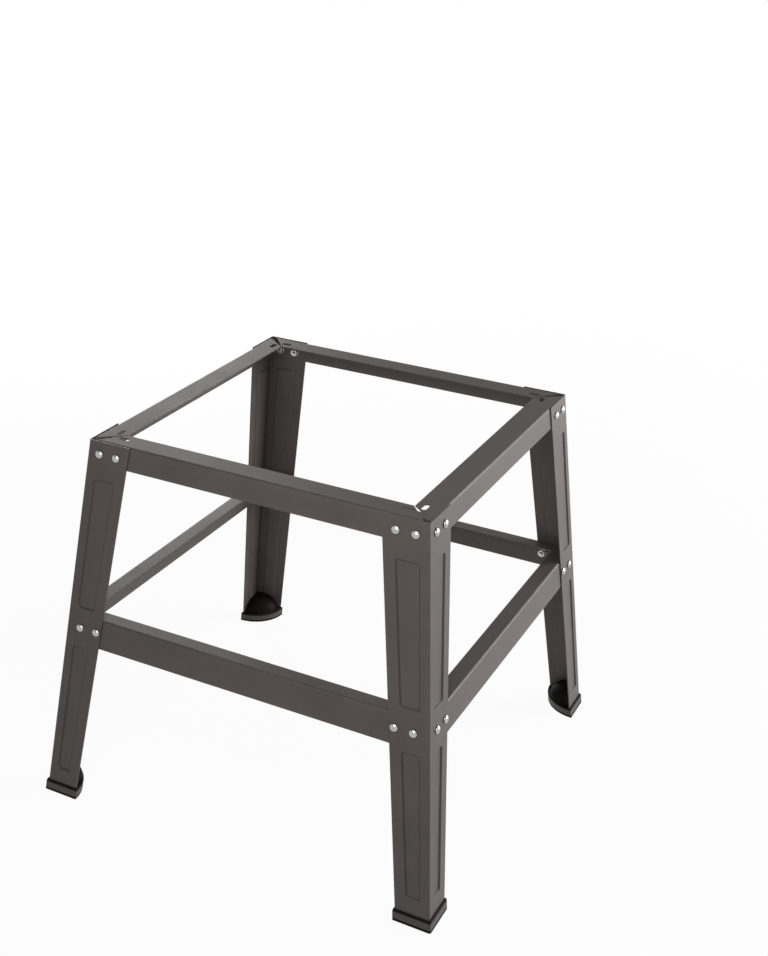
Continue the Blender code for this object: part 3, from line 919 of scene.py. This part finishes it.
# %% Assemble
for index, (side, corner) in enumerate(zip(SIDES, CORNERS)):
    turn = quarter_turn(index)
    place_piece(leg_shape, f"pressed_leg_{corner}", f"leg_{corner}", paint, turn)
    place_piece(foot_shape, f"moulded_foot_{corner}", f"foot_{corner}", rubber, turn)
    place_piece(rail_shape, f"folded_top_rail_{side}", f"top_rail_{side}", paint,
                turn)
    place_piece(brace_shape, f"folded_lower_brace_{side}", f"lower_brace_{side}",
                paint, turn)
    for row in BOLT_ROWS:
        for number, place in enumerate(bolt_places(row), start=1):
            node = f"bolt_{side}_{row}_{number}"
            for shape, kind in ((bolt_shape, "bolt"), (washer_shape, "washer"), (nut_shape, "nut")):
                place_piece(shape, f"{kind}_piece_{side}_{row}_{number}", node, zinc,
                            turn @ place)

# %% [markdown]
# ## Floor and light
#
# The stand was photographed on a white sweep under large soft lamps. More light on a floor would
# turn it white and wash the stand out. So the floor here is pale, and its material turns nearly
# white only for the camera and for reflections, which keeps the stand's shadow. The world does
# the same, with a greyer ceiling for the bolt heads to mirror. The lamps stay at a plain level.
# The strongest is a wide panel at the back right, because the right-hand faces are the lightest in
# the photograph. A smaller one lifts the front, and one at the back left lights the far insides.

# %% Floor
FLOOR_HALF = 40.0
FLOOR_COLOR = (0.62, 0.62, 0.62, 1)
FLOOR_ROUGHNESS = 0.9
FLOOR_WHITE_NEAR = 0.95      # how much of the floor under the stand is plain white for the camera
FLOOR_NEAR, FLOOR_FAR = 0.6, 2.4         # metres from the middle; past the last it is all white
WHITE = (1, 1, 1, 1)


def add_white_for_camera(tree, shader_output, white_node, amount=1.0, reflected=1.0):
    """Mixes a shader with plain white, for rays that see the background straight or mirrored."""
    path = tree.nodes.new("ShaderNodeLightPath")
    mirrored = add_math(tree, "MAXIMUM", path.outputs["Is Glossy Ray"],
                        path.outputs["Is Transmission Ray"])
    seen = add_math(tree, "MAXIMUM", path.outputs["Is Camera Ray"],
                    add_math(tree, "MULTIPLY", mirrored, reflected))
    white = tree.nodes.new(white_node)
    white.inputs["Color"].default_value = WHITE
    mix = tree.nodes.new("ShaderNodeMixShader")
    for place, value in enumerate((add_math(tree, "MULTIPLY", seen, amount), shader_output,
                                   white.outputs[0])):
        tree.links.new(value, mix.inputs[place])
    return mix.outputs[0]


bm = bmesh.new()
bmesh.ops.create_grid(bm, x_segments=1, y_segments=1, size=FLOOR_HALF)
floor = object_from(bm, "floor", closed=False)
floor_material = bpy.data.materials.new("pale_floor")
floor_material.use_nodes = True
floor_tree = floor_material.node_tree
floor_shader = floor_tree.nodes["Principled BSDF"]
floor_shader.inputs["Base Color"].default_value = FLOOR_COLOR
floor_shader.inputs["Roughness"].default_value = FLOOR_ROUGHNESS
floor_shader.inputs["Specular IOR Level"].default_value = 0.0
away = floor_tree.nodes.new("ShaderNodeVectorMath")
away.operation = "LENGTH"
floor_tree.links.new(floor_tree.nodes.new("ShaderNodeTexCoord").outputs["Object"], away.inputs[0])
floor_white = add_ramp(floor_tree, away.outputs["Value"], FLOOR_NEAR, FLOOR_FAR, FLOOR_WHITE_NEAR)
floor_mix = add_white_for_camera(floor_tree, floor_shader.outputs[0], "ShaderNodeEmission",
                                 amount=floor_white)
floor_tree.links.new(floor_mix, floor_tree.nodes["Material Output"].inputs["Surface"])
floor.data.materials.append(floor_material)

# %% World
SWEEP_LIGHT = 0.05           # of the white sweep round the stand
CEILING_LIGHT = 0.03         # of the dark studio above it
SWEEP_TOP, CEILING_START = 0.15, 0.50    # sine of the angle above the horizon
CEILING_MIRRORED = 0.40      # how white the ceiling looks in the bright bolts

world = bpy.data.worlds.new("studio")
world.use_nodes = True
world_tree = world.node_tree
directions = world_tree.nodes.new("ShaderNodeSeparateXYZ")
world_tree.links.new(world_tree.nodes.new("ShaderNodeTexCoord").outputs["Generated"],
                     directions.inputs[0])
backdrop = world_tree.nodes["Background"]
backdrop.inputs["Color"].default_value = WHITE
strength = add_ramp(world_tree, directions.outputs["Z"], SWEEP_TOP, CEILING_START,
                    SWEEP_LIGHT, CEILING_LIGHT)
world_tree.links.new(strength, backdrop.inputs["Strength"])
mirrored_white = add_ramp(world_tree, directions.outputs["Z"], SWEEP_TOP, CEILING_START,
                          1.0, CEILING_MIRRORED)
world_mix = add_white_for_camera(world_tree, backdrop.outputs[0], "ShaderNodeBackground",
                                 reflected=mirrored_white)
world_tree.links.new(world_mix, world_tree.nodes["World Output"].inputs["Surface"])
bpy.context.scene.world = world
print(f"the world gives {CEILING_LIGHT} to {SWEEP_LIGHT} of white light")

# %% Lamps
STAND_MIDDLE = (0.0, 0.0, 0.26)


def add_panel(name, turn, rise, distance, size, power):
    """A soft light that looks at the stand's middle, turned from the front towards the right."""
    # The turn and the rise are in degrees, the distance and the size in metres, power in watts.
    turn, rise = math.radians(turn), math.radians(rise)
    away = Vector((math.sin(turn) * math.cos(rise), -math.cos(turn) * math.cos(rise),
                   math.sin(rise)))
    light = bpy.data.lights.new(name, "AREA")
    light.shape = "SQUARE"
    light.size = size
    light.energy = power
    lamp = bpy.data.objects.new(name, light)
    lamp.location = Vector(STAND_MIDDLE) + away * distance
    lamp.rotation_euler = (-away).to_track_quat("-Z", "Y").to_euler()
    lamp.visible_camera = False
    bpy.context.scene.collection.objects.link(lamp)
    print(f"{name}: {power} W from {distance} m")


add_panel("back_right_panel", turn=127, rise=14, distance=2.8, size=2.0, power=114.0)
add_panel("front_panel", turn=14, rise=34, distance=1.35, size=0.9, power=11.9)
add_panel("back_left_panel", turn=225, rise=10, distance=2.2, size=1.1, power=18.0)

bpy.context.scene.view_settings.view_transform = "Standard"
